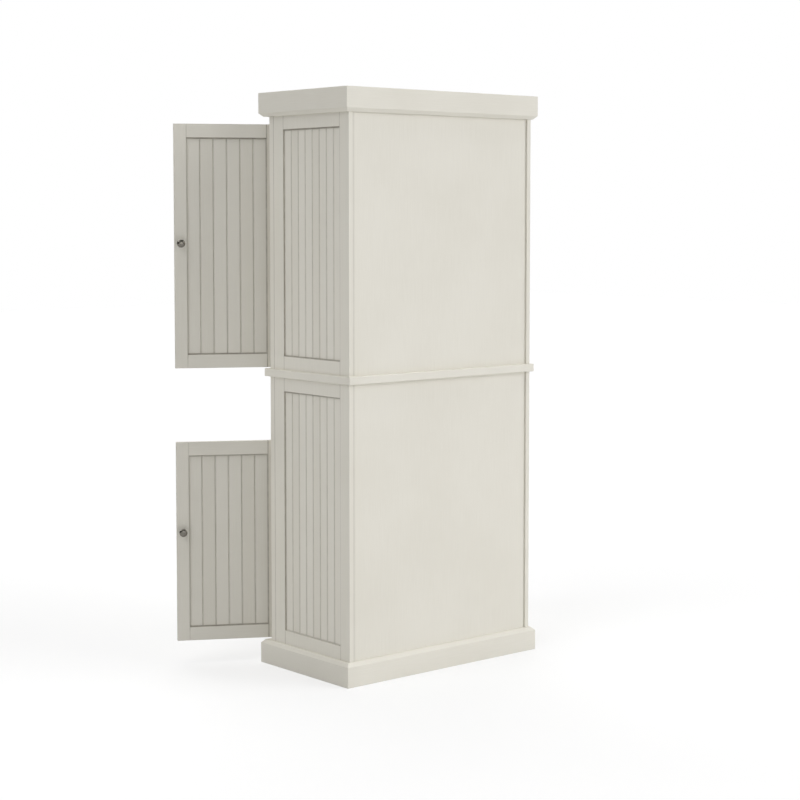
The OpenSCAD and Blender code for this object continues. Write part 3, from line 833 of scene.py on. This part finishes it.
def draw_screw(bm, place, radius, proud):
    """A screw's head with a cross recess, set a little into the face below it."""

    def level(points, height):
        return [bm.verts.new(place @ Vector((x, y, height))) for x, y in points]

    def wall(low, high):
        for i in range(len(low)):
            j = (i + 1) % len(low)
            bm.faces.new((low[i], low[j], high[j], high[i]))

    angles = [math.tau * i / HEAD_STEPS for i in range(HEAD_STEPS)]
    circle = [(math.cos(a) * radius, math.sin(a) * radius) for a in angles]
    rings = [level(circle, -SUNK)]
    for scale, height in HEAD_PROFILE:
        rings.append(level([(x * scale, y * scale) for x, y in circle], height * proud))
    bm.faces.new(rings[0])
    for low, high in zip(rings, rings[1:]):
        wall(low, high)
    cross = cross_outline(radius * CROSS_ARM, radius * CROSS_HALF_WIDTH)
    rim, recess = level(cross, proud), level(cross, proud * CROSS_BOTTOM)
    wall(rim, recess)
    bm.faces.new(recess)
    loops = (rings[-1], rim)
    edges = [bm.edges.get((loop[i - 1], loop[i])) for loop in loops for i in range(len(loop))]
    bmesh.ops.triangle_fill(bm, edges=edges, use_beauty=True)


def draw_bar(bm, place, length, width, proud, corner):
    """A flat bar with rounded corners, along the seat's X."""
    outline = []
    for turn, (x, y) in enumerate(((1, 1), (-1, 1), (-1, -1), (1, -1))):
        middle = Vector((x * (length / 2 - corner), y * (width / 2 - corner)))
        for i in range(CORNER_STEPS + 1):
            a = math.radians(90) * (turn + i / CORNER_STEPS)
            outline.append(middle + corner * Vector((math.cos(a), math.sin(a))))
    low, high = ([bm.verts.new(place @ Vector((*p, h))) for p in outline] for h in (-SUNK, proud))
    bm.faces.new(low)
    bm.faces.new(high)
    for i in range(len(low)):
        bm.faces.new((low[i - 1], low[i], high[i], high[i - 1]))


def add_piece(name, body, material, draw):
    """A new object that rides on a body. draw fills its bmesh in the body's own frame."""
    bm = bmesh.new()
    draw(bm)
    bmesh.ops.recalc_face_normals(bm, faces=bm.faces)
    bm.transform(CLOSED[body].inverted())
    mesh = bpy.data.meshes.new(name)
    bm.to_mesh(mesh)
    bm.free()
    mesh.materials.append(material)
    piece = bpy.data.objects.new(name, mesh)
    bpy.context.scene.collection.objects.link(piece)
    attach(piece, body)


# Thickness of the steel of the hinge leaves and the drawer's slides
SHEET = 0.0012

# Where the screws are above a hinge leaf's middle, and how far in from its back edge
HINGE_SCREWS = (-0.022, 0.0, 0.022)
LEAF_MIDDLE = 0.0085

# How far a screw is from the ends of a catch or its strike plate, a slide and a drawer's end,
# how far below a catch's top, and how far above or below the middle of a drawer's end
CATCH_INSET = 0.006
CATCH_DROP = 0.009
SLIDE_INSET = 0.03
DRAWER_INSET = 0.045
DRAWER_RISE = 0.028


def hinge_seats(leaves, face, out):
    """Three screws up each leaf. face is how far from the middle the leaves' faces are."""
    for low, high in leaves:
        side = math.copysign(1, low.x)
        for up in HINGE_SCREWS:
            z = (low.z + high.z) / 2 + up
            yield seat(side * face, high.y - LEAF_MIDDLE, z, (side * out, 0, 0))


def slide_seats(low, high, web, out):
    """Three screws along a slide's web, at this x, whose face looks along X or against it."""
    for y in (low.y + SLIDE_INSET, (low.y + high.y) / 2, high.y - SLIDE_INSET):
        yield seat(web, y, (low.z + high.z) / 2, (out, 0, 0))


def cabinet_screws():
    opening = solids("upper_face_frame_stiles")[1][0].x
    for place in hinge_seats(solids("frame_hinge_leaves"), opening - SHEET, -1):
        yield place, FLUSH
    for low, high in solids("magnetic_catches"):
        for x in (low.x + CATCH_INSET, high.x - CATCH_INSET):
            yield seat(x, high.y, high.z - CATCH_DROP, (0, 1, 0)), PAN
    for low, high in solids("drawer_runners"):
        side = math.copysign(1, low.x)
        web = side * (max(abs(low.x), abs(high.x)) - SHEET)
        for place in slide_seats(low, high, web, -side):
            yield place, PAN


def door_screws(door):
    edge = max(abs(corner.x) for box in solids(door + "_stiles") for corner in box)
    fittings = solids(door + "_fittings")
    leaves = [box for box in fittings if box[1].z - box[0].z > box[1].x - box[0].x]
    for place in hinge_seats(leaves, edge + SHEET, 1):
        yield place, FLUSH
    for low, high in fittings:
        if (low, high) not in leaves:
            for x in (low.x + CATCH_INSET, high.x - CATCH_INSET):
                yield seat(x, high.y, (low.z + high.z) / 2, (0, 1, 0)), SMALL_FLUSH
    low, high = solids(door + "_knob")[0]
    back = solids(door + "_stiles")[0][1].y
    yield seat((low.x + high.x) / 2, back, (low.z + high.z) / 2, (0, 1, 0)), KNOB_SCREW


def drawer_screws():
    low, high = solids("drawer_ends")[0]
    inside, middle = high.y, (low.z + high.z) / 2
    for knob_low, knob_high in solids("drawer_knobs"):
        x, z = (knob_low.x + knob_high.x) / 2, (knob_low.z + knob_high.z) / 2
        yield seat(x, inside, z, (0, 1, 0)), KNOB_SCREW
    for x in (low.x + DRAWER_INSET, high.x - DRAWER_INSET):
        for z in (middle - DRAWER_RISE, middle + DRAWER_RISE):
            yield seat(x, inside, z, (0, 1, 0)), PAN
    for low, high in solids("drawer_slides"):
        side = math.copysign(1, low.x)
        web = side * (min(abs(low.x), abs(high.x)) + SHEET)
        for place in slide_seats(low, high, web, side):
            yield place, PAN


def screws_of(body):
    if body == "cabinet":
        return cabinet_screws()
    return drawer_screws() if body == "drawer" else door_screws(body)


def draw_screws(body):
    def draw(bm):
        for i, (place, size) in enumerate(screws_of(body)):
            draw_screw(bm, place @ Matrix.Rotation(TURN * i, 4, "Z"), **size)

    return draw


def draw_on_catches(rises, **size):
    """Bars across the front of each catch, at these heights above its underside."""
    to_front = Matrix.Rotation(math.radians(90), 4, "X")

    def draw(bm):
        for low, high in solids("magnetic_catches"):
            for rise in rises:
                middle = Vector(((low.x + high.x) / 2, low.y, low.z + rise))
                draw_bar(bm, Matrix.Translation(middle) @ to_front, **size)

    return draw


# A catch's two steel poles stand a little proud of its front, with the magnet between them
POLES = {
    "rises": (0.0048, 0.0112),
    "length": 0.031,
    "width": 0.0016,
    "proud": 0.0003,
    "corner": 0.0004,
}
MAGNET = {
    "rises": (0.008,),
    "length": 0.029,
    "width": 0.0046,
    "proud": 0.00015,
    "corner": 0.0004,
}

for body in BODIES:
    add_piece(body + "_screws", body, once("satin_nickel", nickel), draw_screws(body))

catch_steel, catch_magnet = once("satin_nickel", nickel), once("ferrite", ferrite)
add_piece("catch_poles", "cabinet", catch_steel, draw_on_catches(**POLES))
add_piece("catch_magnets", "cabinet", catch_magnet, draw_on_catches(**MAGNET))
